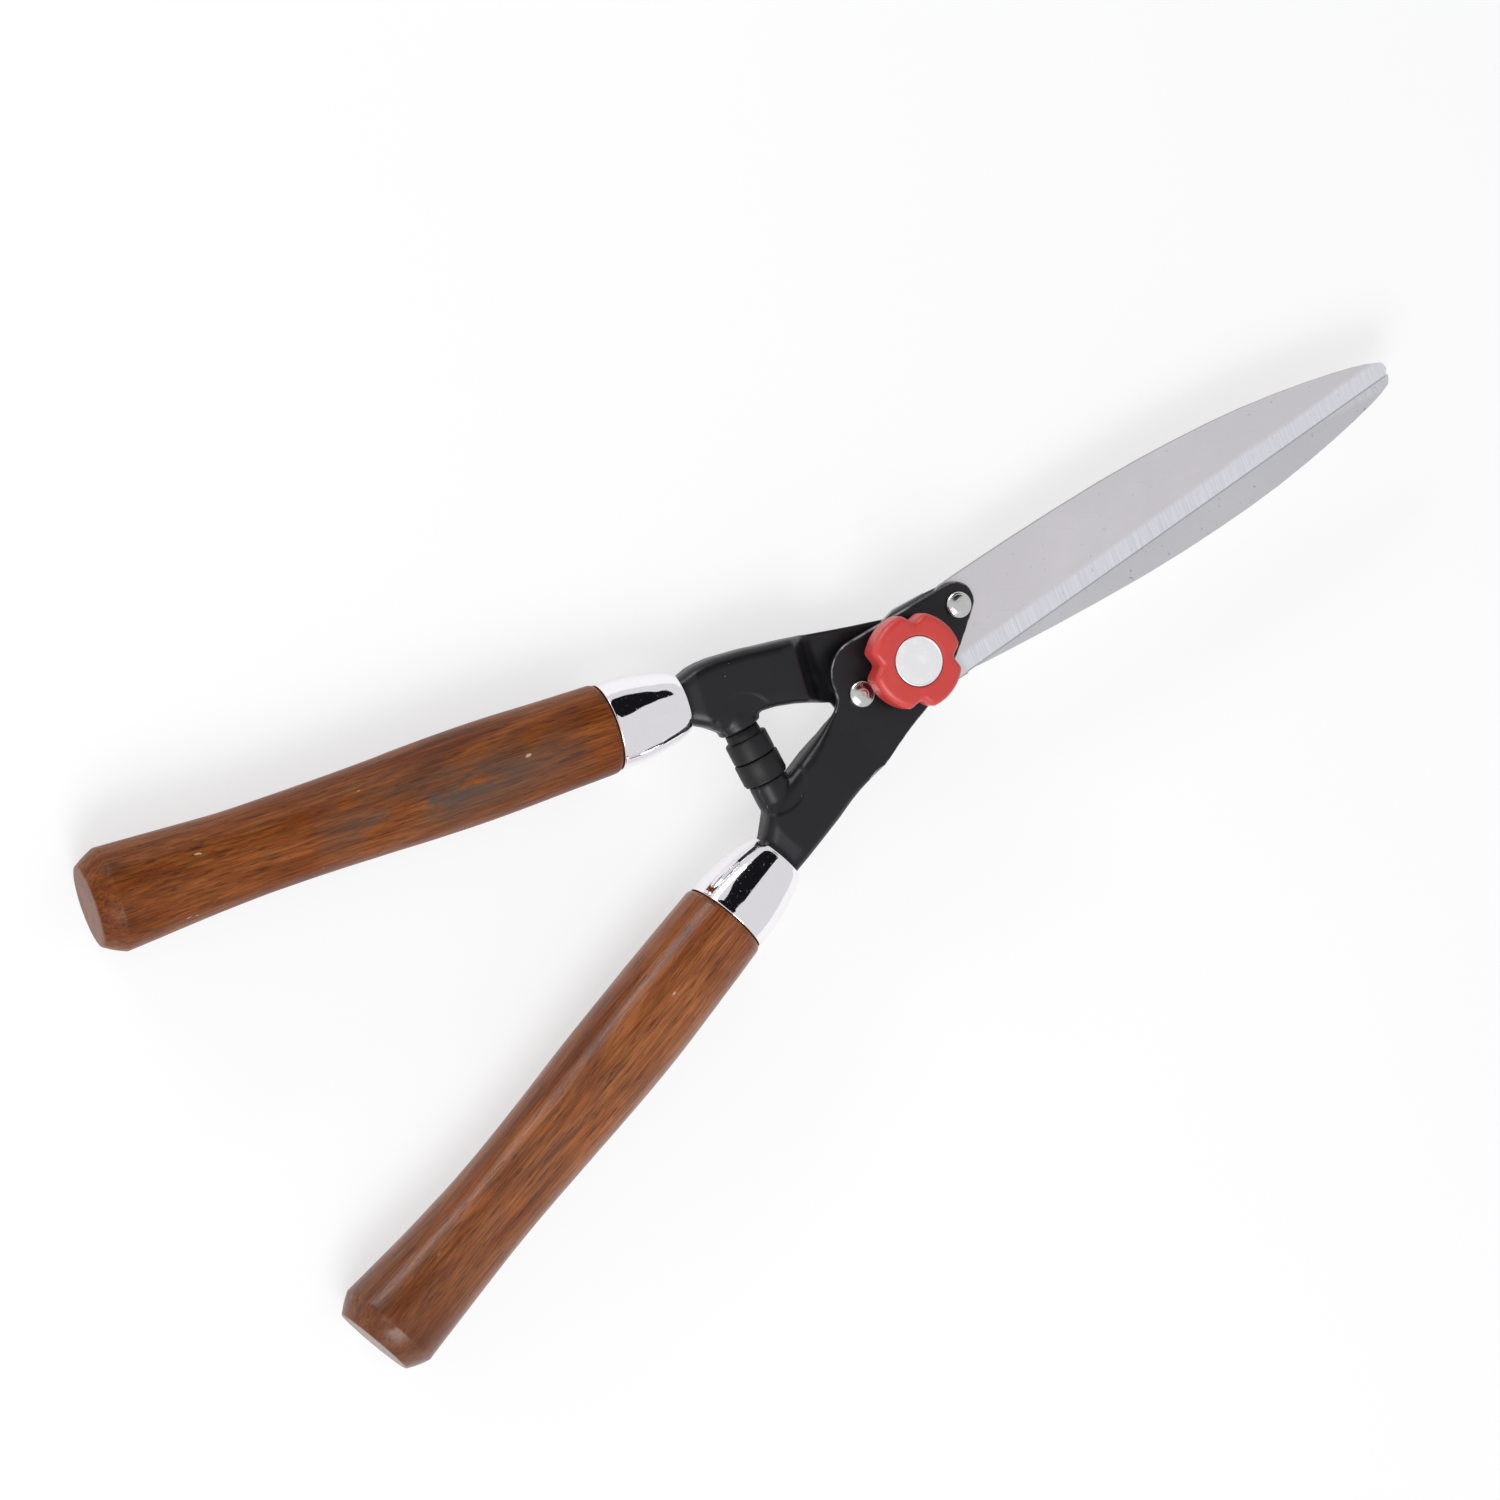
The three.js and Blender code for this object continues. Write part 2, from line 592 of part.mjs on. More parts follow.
const shears = new THREE.Group();
shears.add(lever("rear", rearArmBody()), lever("front", frontArmBody()), pivot());

export default shears;
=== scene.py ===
# Hedge shears: wooden handles, chromed ferrules, black pressed arms, ground blades and a red knob.
import bpy, bmesh, json, math
from mathutils import Matrix, Vector, noise


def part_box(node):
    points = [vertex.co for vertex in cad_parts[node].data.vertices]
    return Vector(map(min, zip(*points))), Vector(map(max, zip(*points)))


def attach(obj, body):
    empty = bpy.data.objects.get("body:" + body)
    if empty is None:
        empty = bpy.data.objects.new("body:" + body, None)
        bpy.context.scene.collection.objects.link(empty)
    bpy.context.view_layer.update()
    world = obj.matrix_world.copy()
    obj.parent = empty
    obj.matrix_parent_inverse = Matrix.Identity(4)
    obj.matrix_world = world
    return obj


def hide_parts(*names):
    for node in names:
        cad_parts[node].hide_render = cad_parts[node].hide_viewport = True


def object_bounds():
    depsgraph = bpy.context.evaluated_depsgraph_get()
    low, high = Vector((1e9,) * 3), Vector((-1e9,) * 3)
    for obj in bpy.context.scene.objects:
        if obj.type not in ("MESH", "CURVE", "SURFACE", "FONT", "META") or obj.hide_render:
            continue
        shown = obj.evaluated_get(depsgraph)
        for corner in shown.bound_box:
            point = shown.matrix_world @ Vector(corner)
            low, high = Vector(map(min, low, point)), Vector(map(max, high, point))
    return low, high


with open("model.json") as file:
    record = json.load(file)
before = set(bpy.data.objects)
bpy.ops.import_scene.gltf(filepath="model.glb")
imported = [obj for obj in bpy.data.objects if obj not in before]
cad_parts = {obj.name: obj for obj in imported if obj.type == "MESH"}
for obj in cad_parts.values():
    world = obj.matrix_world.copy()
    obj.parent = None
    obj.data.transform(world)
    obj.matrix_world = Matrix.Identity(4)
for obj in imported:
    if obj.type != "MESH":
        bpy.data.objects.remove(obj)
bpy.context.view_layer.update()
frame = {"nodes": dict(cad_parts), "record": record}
mm = 0.001
mounts = {m["name"]: m for m in frame["record"]["mounts"]}
middleZ = mounts["front_handle_butt"]["pos_m"][2]  # plane between the blades


# mesh helpers: profiles and points are in mm, and newPiece turns them into metres

def newPiece(name, verts, faces, body, nodes, at, sharp):
    mesh = bpy.data.meshes.new(name)
    mesh.from_pydata([at @ (Vector(v) * mm) for v in verts], [], faces)
    bm = bmesh.new()
    bm.from_mesh(mesh)
    bmesh.ops.remove_doubles(bm, verts=bm.verts, dist=1e-7)
    bmesh.ops.recalc_face_normals(bm, faces=bm.faces)
    bm.to_mesh(mesh)
    bm.free()
    obj = bpy.data.objects.new(name, mesh)
    bpy.context.collection.objects.link(obj)
    finishPiece(obj, body, nodes, sharp)
    return obj


def finishPiece(obj, body, nodes, sharp):
    mesh = obj.data
    mesh.polygons.foreach_set("use_smooth", [True] * len(mesh.polygons))
    mesh.set_sharp_from_angle(angle=math.radians(sharp))
    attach(obj, body)
    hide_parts(*nodes)


def turned(profile, sides, shift=None):
    # rows of (radius, height), first and last on the axis or the same row
    closed = profile[0] == profile[-1]
    rows = profile[:-1] if closed else profile
    verts, rings = [], []
    for radius, z in rows:
        if radius < 1e-6:
            rings.append([len(verts)])
            verts.append((0, 0, z))
            continue
        rings.append(list(range(len(verts), len(verts) + sides)))
        for i in range(sides):
            a = 2 * math.pi * i / sides
            x, y = radius * math.cos(a), radius * math.sin(a)
            verts.append(shift(x, y, z, radius) if shift else (x, y, z))
    faces = []
    pairs = list(zip(rings, rings[1:])) + ([(rings[-1], rings[0])] if closed else [])
    for low, high in pairs:
        for i in range(sides):
            j = (i + 1) % sides
            if len(low) == 1 and len(high) == 1:
                continue
            if len(low) == 1:
                faces.append((low[0], high[j], high[i]))
            elif len(high) == 1:
                faces.append((low[i], low[j], high[0]))
            else:
                faces.append((low[i], low[j], high[j], high[i]))
    return verts, faces


def spline(rows, steps):
    # smooth curve through rows, as dense points
    out = []
    for i in range(len(rows) - 1):
        p0, p1 = Vector(rows[max(i - 1, 0)]), Vector(rows[i])
        p2, p3 = Vector(rows[i + 1]), Vector(rows[min(i + 2, len(rows) - 1)])
        for s in range(steps):
            t = s / steps
            square = (2 * p0 - 5 * p1 + 4 * p2 - p3) * t ** 2
            cube = (3 * p1 - p0 - 3 * p2 + p3) * t ** 3
            out.append(tuple(0.5 * (2 * p1 + (p2 - p0) * t + square + cube)))
    out.append(tuple(rows[-1]))
    return out


def arcRows(radius, z, r, start, end, steps=6):
    # rounded corner of a profile, centre at (radius, z)
    turns = [math.radians(start + (end - start) * i / steps) for i in range(steps + 1)]
    return [(radius + r * math.cos(a), z + r * math.sin(a)) for a in turns]


# node helpers

def nodeGroup(name, inputs, outputs):
    tree = bpy.data.node_groups.new(name, "ShaderNodeTree")
    for label, kind, value in inputs:
        socket = tree.interface.new_socket(name=label, in_out="INPUT", socket_type=kind)
        if value is not None:
            socket.default_value = value
    for label, kind in outputs:
        tree.interface.new_socket(name=label, in_out="OUTPUT", socket_type=kind)
    return tree, tree.nodes.new("NodeGroupInput"), tree.nodes.new("NodeGroupOutput")


def add(tree, kind, links=(), **values):
    node = tree.nodes.new(kind)
    for key, value in values.items():
        setattr(node, key, value)
    for socket, source in dict(links).items():
        if isinstance(source, bpy.types.NodeSocket):
            tree.links.new(source, node.inputs[socket])
        else:
            node.inputs[socket].default_value = source
    return node


def ramp(tree, source, stops):
    node = add(tree, "ShaderNodeValToRGB", {0: source})
    while len(node.color_ramp.elements) < len(stops):
        node.color_ramp.elements.new(0.5)
    for element, (at, colour) in zip(node.color_ramp.elements, stops):
        element.position = at
        element.color = (*colour, 1) if isinstance(colour, tuple) else (colour, colour, colour, 1)
    return node.outputs[0]


def math2(tree, operation, a, b=0.0, clamp=False):
    return add(tree, "ShaderNodeMath", {0: a, 1: b}, operation=operation, use_clamp=clamp).outputs[0]


def mixColour(tree, amount, a, b, blend="MIX"):
    node = add(tree, "ShaderNodeMix", data_type="RGBA", blend_type=blend)
    for socket, source in ((0, amount), (6, a), (7, b)):
        if isinstance(source, bpy.types.NodeSocket):
            tree.links.new(source, node.inputs[socket])
        else:
            node.inputs[socket].default_value = (*source, 1) if isinstance(source, tuple) else source
    return node.outputs[2]


def noiseOf(tree, vector, scale, detail=4, roughness=0.5, distortion=0.0):
    return add(tree, "ShaderNodeTexNoise", {"Vector": vector, "Scale": scale, "Detail": detail,
               "Roughness": roughness, "Distortion": distortion}).outputs["Fac"]


def stretched(tree, vector, scale, turn=0.0):
    node = add(tree, "ShaderNodeMapping", {"Vector": vector}, vector_type="POINT")
    node.inputs["Rotation"].default_value = (0, 0, turn)
    node.inputs["Scale"].default_value = scale
    return node.outputs[0]


def material(name, roughness, metallic=0.0, **fixed):
    made = bpy.data.materials.new(name)
    made.use_nodes = True
    tree = made.node_tree
    shader = tree.nodes["Principled BSDF"]
    shader.inputs["Roughness"].default_value = roughness
    shader.inputs["Metallic"].default_value = metallic
    for key, value in fixed.items():
        shader.inputs[key].default_value = value
    vector = add(tree, "ShaderNodeTexCoord").outputs["Object"]
    return made, tree, shader, vector


def place(tree, group, **values):
    node = tree.nodes.new("ShaderNodeGroup")
    node.node_tree = group
    for key, value in values.items():
        socket = node.inputs[key]
        if isinstance(value, bpy.types.NodeSocket):
            tree.links.new(value, socket)
        else:
            socket.default_value = value
    return node


def bumpInto(tree, shader, height, strength, distance):
    bump = add(tree, "ShaderNodeBump", {"Height": height, "Strength": strength, "Distance": distance})
    tree.links.new(bump.outputs[0], shader.inputs["Normal"])


# shared effects

def makeEdgeWear():
    tree, start, end = nodeGroup("edgeWear", [
        ("Vector", "NodeSocketVector", None), ("Edge", "NodeSocketFloat", 0.55),
        ("Softness", "NodeSocketFloat", 0.05), ("Patchiness", "NodeSocketFloat", 0.5),
        ("Patch Scale", "NodeSocketFloat", 150.0)], [("Wear", "NodeSocketFloat")])
    point = add(tree, "ShaderNodeNewGeometry").outputs["Pointiness"]
    patches = noiseOf(tree, start.outputs["Vector"], start.outputs["Patch Scale"], 5, 0.65)
    offset = math2(tree, "MULTIPLY", math2(tree, "SUBTRACT", patches, 0.5), start.outputs["Patchiness"])
    above = math2(tree, "SUBTRACT", point, start.outputs["Edge"])
    level = math2(tree, "ADD", above, math2(tree, "MULTIPLY", offset, 0.3))
    tree.links.new(math2(tree, "DIVIDE", level, start.outputs["Softness"], True), end.inputs["Wear"])
    return tree


def makeSmudges():
    tree, start, end = nodeGroup("smudges", [
        ("Vector", "NodeSocketVector", None), ("Scale", "NodeSocketFloat", 30.0),
        ("Cover", "NodeSocketFloat", 0.5), ("Softness", "NodeSocketFloat", 0.2)], [("Mask", "NodeSocketFloat")])
    broad = noiseOf(tree, start.outputs["Vector"], start.outputs["Scale"], 6, 0.62, 0.4)
    level = math2(tree, "SUBTRACT", broad, math2(tree, "SUBTRACT", 1.0, start.outputs["Cover"]))
    tree.links.new(math2(tree, "DIVIDE", level, start.outputs["Softness"], True), end.inputs["Mask"])
    return tree


def makeScratches():
    # fine lines along X of the vector given, some of them deep
    tree, start, end = nodeGroup("scratches", [
        ("Vector", "NodeSocketVector", None), ("Fineness", "NodeSocketFloat", 1.0)], [
        ("Lines", "NodeSocketFloat"), ("Deep", "NodeSocketFloat")])
    scaled = add(tree, "ShaderNodeVectorMath", {0: start.outputs["Vector"]}, operation="SCALE")
    tree.links.new(start.outputs["Fineness"], scaled.inputs["Scale"])
    fine = noiseOf(tree, stretched(tree, scaled.outputs[0], (60, 2600, 60)), 1.0, 3, 0.7)
    deep = noiseOf(tree, stretched(tree, scaled.outputs[0], (90, 1500, 90)), 1.0, 2, 0.4, 0.6)
    tree.links.new(fine, end.inputs["Lines"])
    tree.links.new(ramp(tree, deep, [(0.66, 0.0), (0.74, 1.0)]), end.inputs["Deep"])
    return tree


def makeWoodGrain():
    # growth figure, streaks and pores that run along Z of the vector given
    tree, start, end = nodeGroup("woodGrain", [("Vector", "NodeSocketVector", None)], [
        ("Figure", "NodeSocketFloat"), ("Streaks", "NodeSocketFloat"),
        ("Fibres", "NodeSocketFloat"), ("Pores", "NodeSocketFloat")])
    source = start.outputs["Vector"]
    figure = noiseOf(tree, stretched(tree, source, (62, 62, 11)), 1.0, 6, 0.6, 1.2)
    streaks = noiseOf(tree, stretched(tree, source, (300, 300, 16)), 1.0, 6, 0.65, 0.6)
    fibres = noiseOf(tree, stretched(tree, source, (1100, 1100, 48)), 1.0, 4, 0.65)
    pores = noiseOf(tree, stretched(tree, source, (1500, 1500, 110)), 1.0, 2, 0.5)
    tree.links.new(figure, end.inputs["Figure"])
    tree.links.new(streaks, end.inputs["Streaks"])
    tree.links.new(fibres, end.inputs["Fibres"])
    tree.links.new(ramp(tree, pores, [(0.58, 0.0), (0.68, 1.0)]), end.inputs["Pores"])
    return tree


edgeWear, smudges, scratches, woodGrain = makeEdgeWear(), makeSmudges(), makeScratches(), makeWoodGrain()
print("shared effects built")


handleLength = 201.9


def gripPlace(side, back):
    # local frame with Z along the handle and X level, its origin back mm from the flat end
    mount = mounts[side + "_handle_butt"]
    butt, along = Vector(mount["pos_m"]), Vector(mount["axis"]).normalized()
    up = Vector((0, 0, 1))
    across = up.cross(along).normalized()
    turn = Matrix((across, up, along)).transposed().to_4x4()
    return Matrix.Translation(butt - along * back * mm) @ turn


# varnished hardwood of the handles
woodLook = {
    "dark": (0.030, 0.009, 0.004), "deep": (0.135, 0.040, 0.012), "warm": (0.205, 0.064, 0.019),
    # the last colour on the next line is a painted glint on the small nicks in the varnish
    "pale": (0.285, 0.108, 0.040), "soot": (0.068, 0.052, 0.043), "nickGlint": (0.48, 0.36, 0.30),
    "buttDark": (0.062, 0.020, 0.008), "rubbed": (0.30, 0.13, 0.075),
    "dirtLine": 2, "dirtHalfWidth": 17, "dirtHalfLength": 55,  # mm, across and along the grip
    "darkFrom": 135, "darkOver": 55,  # mm along the handle
}


def varnishedWood(name, side, shade, dirt, gloss, coatRoughness, dirtAt, buttShade):
    made, tree, shader, vector = material(name, 0.42, 0.0, **{"Specular IOR Level": 0.1, "Coat Weight": gloss,
                                          "Coat Roughness": coatRoughness, "Coat IOR": 1.5})
    # the grain follows the handle, with Z along it
    inverse = gripPlace(side, handleLength).inverted()
    grainFrame = add(tree, "ShaderNodeMapping", {"Vector": vector}, vector_type="POINT")
    grainFrame.inputs["Location"].default_value = inverse.to_translation()
    grainFrame.inputs["Rotation"].default_value = inverse.to_euler()
    vector = grainFrame.outputs[0]
    grain = place(tree, woodGrain, Vector=vector)
    base = ramp(tree, grain.outputs["Figure"], [
        (0.30, woodLook["deep"]), (0.45, woodLook["warm"]), (0.60, woodLook["pale"]), (0.72, woodLook["warm"])])
    streak = ramp(tree, grain.outputs["Streaks"], [(0.30, 0.55), (0.46, 0.94), (0.62, 1.14)])
    colour = mixColour(tree, 0.85, base, streak, "MULTIPLY")
    fibre = ramp(tree, grain.outputs["Fibres"], [(0.32, 0.40), (0.62, 1.22)])
    colour = mixColour(tree, 0.85, colour, fibre, "MULTIPLY")
    colour = mixColour(tree, math2(tree, "MULTIPLY", grain.outputs["Pores"], 0.62), colour, woodLook["dark"])
    colour = mixColour(tree, 1.0, colour, shade, "MULTIPLY")
    # grey handling dirt in patches round one stretch of the grip
    parts = add(tree, "ShaderNodeSeparateXYZ", {0: vector})
    along = parts.outputs["Z"]
    offLine = math2(tree, "ABSOLUTE", math2(tree, "SUBTRACT", parts.outputs["X"], woodLook["dirtLine"] * mm))
    offLine = math2(tree, "DIVIDE", offLine, woodLook["dirtHalfWidth"] * mm)
    near = math2(tree, "ABSOLUTE", math2(tree, "SUBTRACT", along, dirtAt * mm))
    near = math2(tree, "SUBTRACT", 1.0, math2(tree, "DIVIDE", near, woodLook["dirtHalfLength"] * mm), True)
    longWays = stretched(tree, vector, (1, 1, 0.45))
    patch = place(tree, smudges, Vector=longWays, Scale=60.0, Cover=0.60, Softness=0.12)
    near = math2(tree, "MULTIPLY", math2(tree, "POWER", near, 0.5), math2(tree, "SUBTRACT", 1.0, offLine, True))
    soot = math2(tree, "MULTIPLY", math2(tree, "MULTIPLY", patch.outputs["Mask"], near), dirt)
    colour = mixColour(tree, soot, colour, woodLook["soot"])
    # the wood is darker towards its flat end
    buttDark = math2(tree, "SUBTRACT", along, woodLook["darkFrom"] * mm)
    buttDark = math2(tree, "DIVIDE", buttDark, woodLook["darkOver"] * mm, True)
    colour = mixColour(tree, math2(tree, "MULTIPLY", buttDark, buttShade), colour, woodLook["buttDark"])
    wear = place(tree, edgeWear, Vector=vector, Edge=0.53, Softness=0.05, Patchiness=0.35)
    colour = mixColour(tree, math2(tree, "MULTIPLY", wear.outputs["Wear"], 0.35), colour, woodLook["rubbed"])
    # small nicks in the varnish: pressed into the bump, and painted pale as a painted glint on each
    nicksAndGlints = noiseOf(tree, stretched(tree, vector, (1, 1, 0.5)), 240.0, 1, 0.4)
    nicksAndGlints = ramp(tree, nicksAndGlints, [(0.790, 0.0), (0.805, 1.0)])
    colour = mixColour(tree, math2(tree, "MULTIPLY", nicksAndGlints, 0.8), colour, woodLook["nickGlint"])
    tree.links.new(colour, shader.inputs["Base Color"])
    dullAndShadeMask = place(tree, smudges, Vector=vector, Scale=26.0, Cover=0.5, Softness=0.5)
    rough = math2(tree, "ADD", math2(tree, "MULTIPLY", dullAndShadeMask.outputs["Mask"], 0.16), 0.34)
    tree.links.new(math2(tree, "ADD", rough, math2(tree, "MULTIPLY", soot, 0.15)), shader.inputs["Roughness"])
    fibres = math2(tree, "MULTIPLY", grain.outputs["Fibres"], 0.5)
    height = math2(tree, "SUBTRACT", fibres, math2(tree, "MULTIPLY", grain.outputs["Pores"], 0.6))
    height = math2(tree, "SUBTRACT", height, nicksAndGlints)
    bumpInto(tree, shader, height, 0.4, 0.00025)
    return made


paintLook = {"low": (0.0075, 0.0070, 0.0090), "high": (0.0115, 0.0110, 0.0145), "bare": (0.42, 0.41, 0.40)}


def paintedBlack():
    made, tree, shader, vector = material("satinBlackPaint", 0.38, 0.0, **{"Specular IOR Level": 0.32})
    cloud = place(tree, smudges, Vector=vector, Scale=60.0, Cover=0.5, Softness=0.6)
    colour = mixColour(tree, cloud.outputs["Mask"], paintLook["low"], paintLook["high"])
    wear = place(tree, edgeWear, Vector=vector, Edge=0.565, Softness=0.03, Patchiness=0.5)
    wear.inputs["Patch Scale"].default_value = 260.0
    speck = noiseOf(tree, vector, 620.0, 2, 0.5)
    chips = math2(tree, "MULTIPLY", ramp(tree, speck, [(0.785, 0.0), (0.80, 1.0)]), 0.6)
    bare = math2(tree, "MAXIMUM", math2(tree, "MULTIPLY", wear.outputs["Wear"], 0.5), chips, True)
    # the top edge of the pressed plate is rubbed bright in places
    rubbed = ramp(tree, noiseOf(tree, vector, 95.0, 3, 0.6), [(0.40, 0.15), (0.58, 1.0)])
    rim = add(tree, "ShaderNodeAttribute", attribute_name="rim").outputs["Fac"]
    rimWear = math2(tree, "MULTIPLY", math2(tree, "MULTIPLY", rim, rubbed), 0.85)
    bare = math2(tree, "MAXIMUM", bare, rimWear, True)
    tree.links.new(mixColour(tree, bare, colour, paintLook["bare"]), shader.inputs["Base Color"])
    tree.links.new(math2(tree, "MULTIPLY", bare, 0.8), shader.inputs["Metallic"])
    rough = math2(tree, "ADD", math2(tree, "MULTIPLY", cloud.outputs["Mask"], 0.12), 0.33)
    tree.links.new(rough, shader.inputs["Roughness"])
    orange = noiseOf(tree, vector, 900.0, 3, 0.5)
    wavy = noiseOf(tree, vector, 90.0, 2, 0.5)
    bumpInto(tree, shader, math2(tree, "ADD", math2(tree, "MULTIPLY", orange, 0.12), wavy), 0.25, 0.0004)
    return made


bladeLook = {
    "heel": (21.8, -17.2), "tip": (230.7, -1.4),  # mm, ends of the front blade's cutting edge
    # the last two entries of the next line and the last colour below place and colour the painted shade along the
    # blade edges
    "bevelWidth": 6.6, "bevelFade": 2.2, "bevelWander": 2.2, "edgeShadeFrom": 0.2, "edgeShadeFade": 0.6,
    "spot": (0.22, 0.22, 0.22), "edgeShadeColour": (0.20, 0.20, 0.21),
}


def groundSteel(name, base, bevelTint, front):
    # edge runs from the heel to the tip; across is the distance from it, up the blade
    made, tree, shader, vector = material(name, 0.34, 1.0, **{"Specular IOR Level": 0.5})
    side = 1 if front else -1
    split = add(tree, "ShaderNodeSeparateXYZ", {0: vector})
    x, y = split.outputs["X"], math2(tree, "MULTIPLY", split.outputs["Y"], side)
    (heelX, heelY), (tipX, tipY) = bladeLook["heel"], bladeLook["tip"]
    slope = (tipY - heelY) / (tipX - heelX)
    fromHeel = math2(tree, "SUBTRACT", x, heelX * mm)
    edgeY = math2(tree, "ADD", math2(tree, "MULTIPLY", fromHeel, slope), heelY * mm)
    across = math2(tree, "SUBTRACT", y, edgeY)
    wobble = math2(tree, "SUBTRACT", noiseOf(tree, vector, 45.0, 3, 0.6), 0.5)
    wobble = math2(tree, "MULTIPLY", wobble, bladeLook["bevelWander"] * mm)
    past = math2(tree, "SUBTRACT", math2(tree, "ADD", across, wobble), bladeLook["bevelWidth"] * mm)
    bevel = math2(tree, "SUBTRACT", 1.0, math2(tree, "DIVIDE", past, bladeLook["bevelFade"] * mm), True)
    bevel = math2(tree, "MULTIPLY", bevel, math2(tree, "GREATER_THAN", x, heelX * mm))
    cross = add(tree, "ShaderNodeCombineXYZ", {0: y, 1: x, 2: 0.0}).outputs[0]
    grind = place(tree, scratches, Vector=cross, Fineness=0.62)
    brush = place(tree, scratches, Vector=stretched(tree, vector, (1, 1, 1), 0.5), Fineness=0.5)
    cloud = place(tree, smudges, Vector=vector, Scale=22.0, Cover=0.5, Softness=0.7)
    dim, bright, scored = (tuple(c * share for c in base) for share in (0.90, 1.05, 0.75))
    flat = mixColour(tree, cloud.outputs["Mask"], dim, bright)
    flat = mixColour(tree, math2(tree, "MULTIPLY", brush.outputs["Deep"], 0.18), flat, scored)
    lines = ramp(tree, grind.outputs["Lines"], [(0.3, 0.80), (0.68, 1.06)])
    ground = mixColour(tree, 0.85, bevelTint, lines, "MULTIPLY")
    colour = mixColour(tree, bevel, flat, ground)
    spots = ramp(tree, noiseOf(tree, vector, 420.0, 2, 0.6), [(0.68, 0.0), (0.74, 1.0)])
    colour = mixColour(tree, math2(tree, "MULTIPLY", spots, 0.22 if front else 0.5), colour, bladeLook["spot"])
    # painted shade: the cut edges and a thin line along the honed edge are painted dark, standing in for the shade
    # on the steep edges and in the gap between the blades
    normal = add(tree, "ShaderNodeTexCoord").outputs["Normal"]
    facing = add(tree, "ShaderNodeSeparateXYZ", {0: normal}).outputs["Z"]
    flatness = math2(tree, "SUBTRACT", math2(tree, "ABSOLUTE", facing), 0.45)
    flatness = math2(tree, "DIVIDE", flatness, 0.35, True)
    shadeNearEdge = math2(tree, "SUBTRACT", across, bladeLook["edgeShadeFrom"] * mm)
    shadeNearEdge = math2(tree, "SUBTRACT", 1.0, math2(tree, "DIVIDE", shadeNearEdge, bladeLook["edgeShadeFade"] * mm), True)
    dullAndShadeMask = math2(tree, "MAXIMUM", math2(tree, "SUBTRACT", 1.0, flatness), math2(tree, "MULTIPLY", shadeNearEdge, 0.8))
    colour = mixColour(tree, math2(tree, "MULTIPLY", dullAndShadeMask, 0.85), colour, bladeLook["edgeShadeColour"])
    tree.links.new(colour, shader.inputs["Base Color"])
    rough = math2(tree, "ADD", math2(tree, "MULTIPLY", cloud.outputs["Mask"], 0.07), 0.33)
    rough = math2(tree, "ADD", rough, math2(tree, "MULTIPLY", bevel, -0.05))
    tree.links.new(rough, shader.inputs["Roughness"])
    height = math2(tree, "ADD", math2(tree, "MULTIPLY", grind.outputs["Lines"], bevel),
                   math2(tree, "MULTIPLY", brush.outputs["Lines"], 0.18))
    bumpInto(tree, shader, height, 0.3, 0.00012)
    return made


def brightChrome():
    made, tree, shader, vector = material("brightChrome", 0.06, 1.0)
    haze = place(tree, smudges, Vector=vector, Scale=120.0, Cover=0.5, Softness=0.5)
    colour = mixColour(tree, haze.outputs["Mask"], (0.93, 0.91, 0.94), (0.97, 0.95, 0.98))
    tree.links.new(colour, shader.inputs["Base Color"])
    speck = ramp(tree, noiseOf(tree, vector, 1100.0, 2, 0.5), [(0.66, 0.0), (0.72, 1.0)])
    rough = math2(tree, "ADD", math2(tree, "MULTIPLY", haze.outputs["Mask"], 0.06), 0.05)
    tree.links.new(math2(tree, "ADD", rough, math2(tree, "MULTIPLY", speck, 0.25)), shader.inputs["Roughness"])
    ripple = noiseOf(tree, stretched(tree, vector, (1, 1, 1.8)), 150.0, 3, 0.55)
    bumpInto(tree, shader, ripple, 0.1, 0.00012)
    return made


def steelLook(name, base, roughness, metallic=1.0):
    made, tree, shader, vector = material(name, roughness, metallic)
    haze = place(tree, smudges, Vector=vector, Scale=260.0, Cover=0.5, Softness=0.5)
    wear = place(tree, edgeWear, Vector=vector, Edge=0.56, Softness=0.08, Patchiness=0.3)
    colour = mixColour(tree, haze.outputs["Mask"], tuple(c * 0.82 for c in base), base)
    colour = mixColour(tree, math2(tree, "MULTIPLY", wear.outputs["Wear"], 0.4), colour, (0.88, 0.88, 0.88))
    tree.links.new(colour, shader.inputs["Base Color"])
    rough = math2(tree, "ADD", math2(tree, "MULTIPLY", haze.outputs["Mask"], 0.12), roughness - 0.05)
    tree.links.new(rough, shader.inputs["Roughness"])
    bumpInto(tree, shader, noiseOf(tree, vector, 900.0, 3, 0.6), 0.2, 0.00015)
    return made


def mouldedRed():
    made, tree, shader, vector = material("mouldedRedPlastic", 0.42, 0.0, **{"Specular IOR Level": 0.45,
                                          "Subsurface Weight": 0.08, "Subsurface Scale": 0.003})
    cloud = place(tree, smudges, Vector=vector, Scale=70.0, Cover=0.5, Softness=0.6)
    colour = mixColour(tree, cloud.outputs["Mask"], (0.52, 0.044, 0.037), (0.61, 0.060, 0.050))
    wear = place(tree, edgeWear, Vector=vector, Edge=0.53, Softness=0.06, Patchiness=0.4)
    colour = mixColour(tree, math2(tree, "MULTIPLY", wear.outputs["Wear"], 0.35), colour, (0.90, 0.20, 0.16))
    tree.links.new(colour, shader.inputs["Base Color"])
    rough = math2(tree, "ADD", math2(tree, "MULTIPLY", cloud.outputs["Mask"], 0.10), 0.36)
    tree.links.new(rough, shader.inputs["Roughness"])
    fine = math2(tree, "MULTIPLY", noiseOf(tree, vector, 1400.0, 2, 0.5), 0.25)
    bumpInto(tree, shader, math2(tree, "ADD", fine, noiseOf(tree, vector, 160.0, 2, 0.5)), 0.22, 0.0003)
    return made


